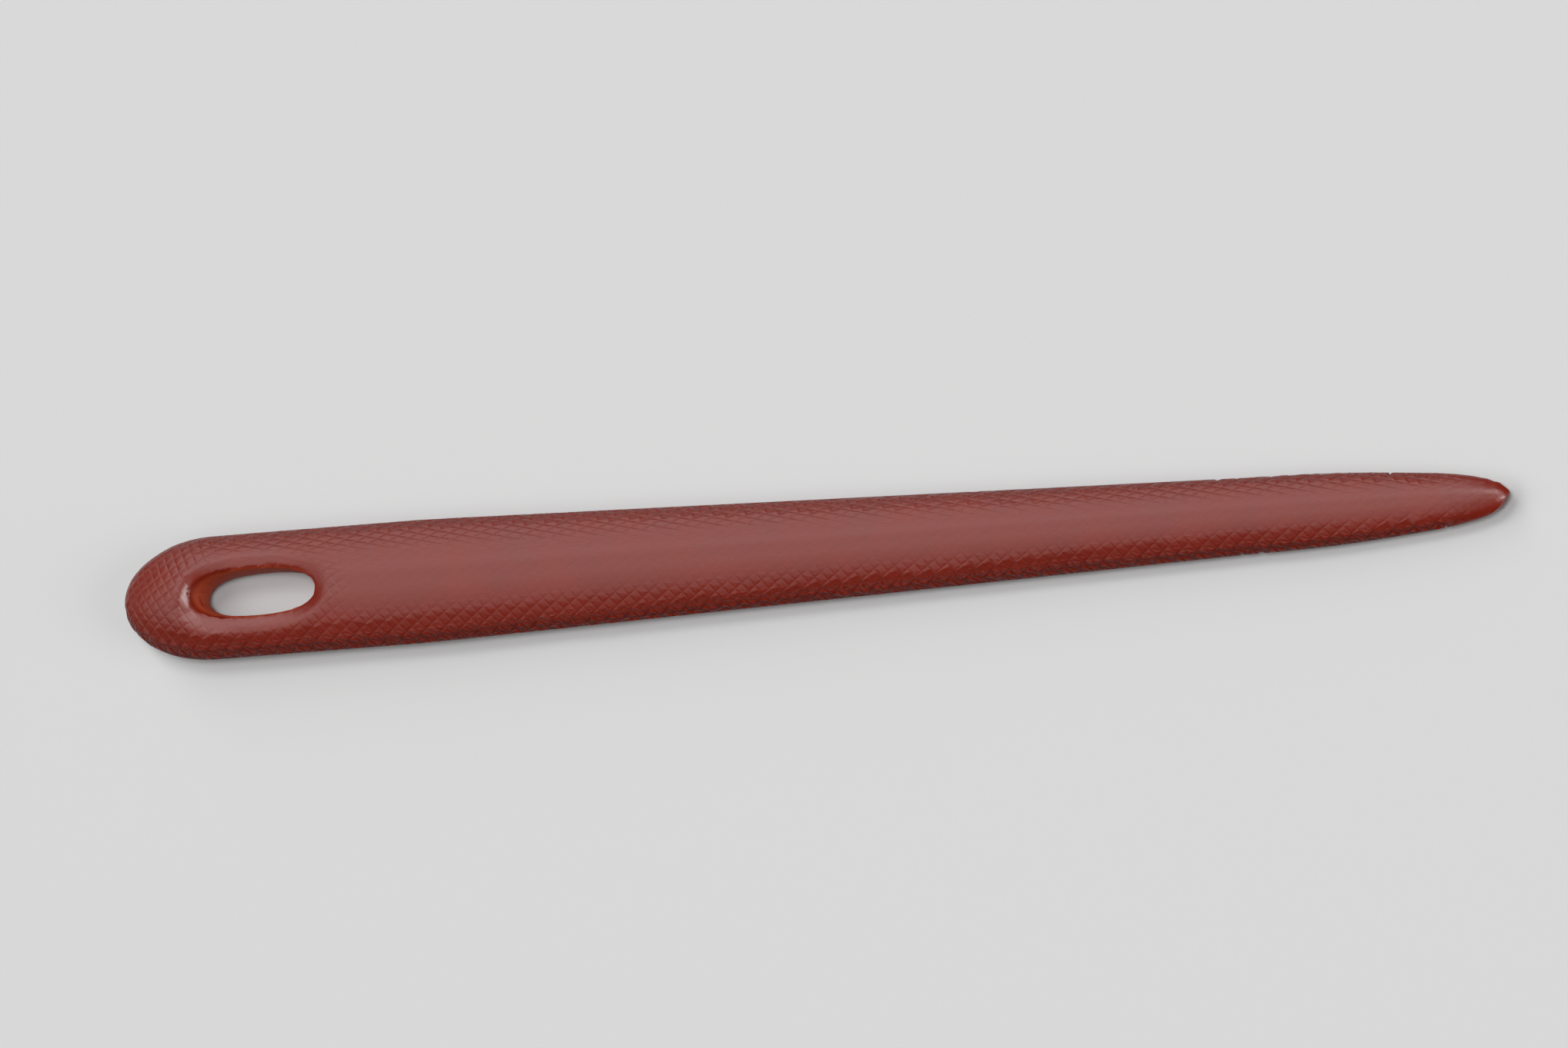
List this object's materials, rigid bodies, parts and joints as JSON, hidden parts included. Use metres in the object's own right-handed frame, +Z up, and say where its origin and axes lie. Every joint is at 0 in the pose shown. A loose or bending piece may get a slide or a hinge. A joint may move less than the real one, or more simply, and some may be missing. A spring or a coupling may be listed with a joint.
{
  "type": "nalebinding needle",
  "caption": "Flat, blunt-pointed hand needle with a long rounded eye near its broad end, for looping yarn in nalebinding.",
  "frame": {"origin": "under the middle of the needle, on the surface that its flat underside lies on", "axes": "+X runs along the needle from the eye end to the tip, +Y across it, +Z up through its thickness"},
  "size_m": [0.15, 0.0122, 0.0057],
  "materials": {
    "needle": "solid red wax-like plastic with fine tooled facets and a soft satin sheen"
  },
  "bodies": {
    "root": {"needle": "needle"}
  },
  "joints": []
}
